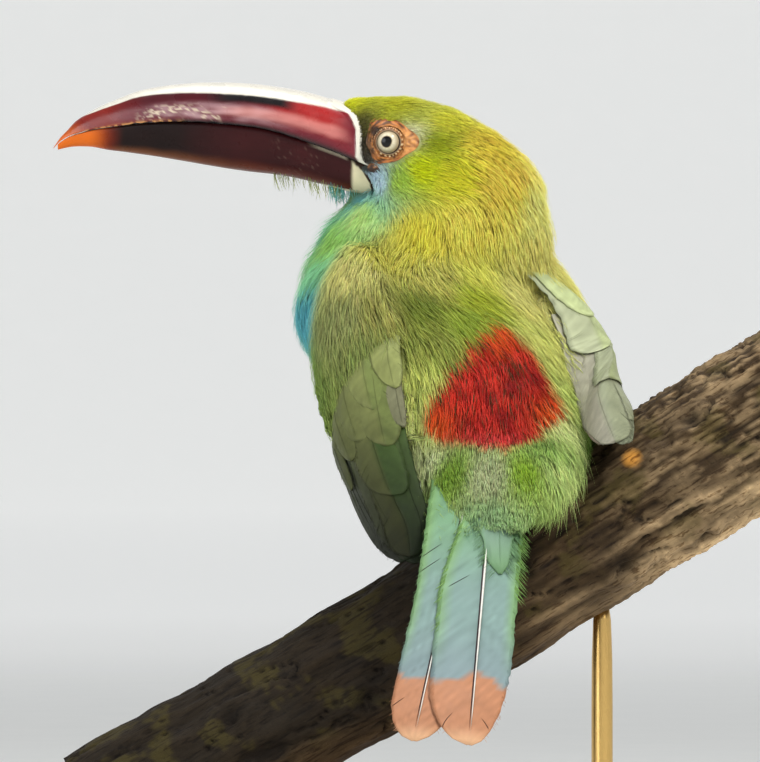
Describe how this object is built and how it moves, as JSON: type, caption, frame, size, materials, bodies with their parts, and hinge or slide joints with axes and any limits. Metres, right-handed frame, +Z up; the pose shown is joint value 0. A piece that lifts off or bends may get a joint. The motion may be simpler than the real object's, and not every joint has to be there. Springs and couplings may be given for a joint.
{
  "type": "toucan",
  "caption": "Life-size toucanet seen from behind, head turned to its left, gripping a short cut length of slanting branch held up by slim rods on a round base.",
  "frame": {"origin": "centre of the base's flat underside", "axes": "+Z up, +Y the way the bird's back is seen along (its body faces +Y), -X the way its bill points"},
  "size_m": [0.2249, 0.1793, 0.2471],
  "materials": {
    "plumage": "soft hair-like feathers, green with an ochre nape, blue throat and red rump",
    "wing_feather": "smooth grey-green vanes",
    "tail_feather": "blue-grey vanes with pale shafts and chestnut tips",
    "bill_red": "glossy horn, maroon with a pale ridge",
    "bill_dark": "glossy horn, blackish maroon",
    "eye": "wet cream iris and black pupil",
    "leg_scale": "dull grey-green scaled skin",
    "claw": "dark horn",
    "bark": "rough weathered bark",
    "stand_wood": "satin dark wood",
    "stand_brass": "satin"
  },
  "bodies": {
    "root": {"bill_lower": "bill_dark", "bill_upper": "bill_red", "branch": "bark", "claw_left_1": "claw", "claw_left_2": "claw", "claw_left_3": "claw", "claw_left_4": "claw", "claw_right_1": "claw", "claw_right_2": "claw", "claw_right_3": "claw", "claw_right_4": "claw", "eye_left": "eye", "eye_right": "eye", "foot_left": "leg_scale", "foot_right": "leg_scale", "head": "plumage", "leg_left_tarsus": "leg_scale", "leg_right_tarsus": "leg_scale", "neck": "plumage", "stand_base": "stand_wood", "stand_collar_left": "stand_brass", "stand_collar_right": "stand_brass", "stand_rod_left": "stand_brass", "stand_rod_right": "stand_brass", "tail_left_1": "tail_feather", "tail_left_2": "tail_feather", "tail_left_3": "tail_feather", "tail_left_4": "tail_feather", "tail_left_5": "tail_feather", "tail_right_1": "tail_feather", "tail_right_2": "tail_feather", "tail_right_3": "tail_feather", "tail_right_4": "tail_feather", "tail_right_5": "tail_feather", "trunk": "plumage", "wing_left_arm": "wing_feather", "wing_left_primaries": "wing_feather", "wing_left_secondaries": "wing_feather", "wing_right_arm": "wing_feather", "wing_right_primaries": "wing_feather", "wing_right_secondaries": "wing_feather"}
  },
  "joints": []
}
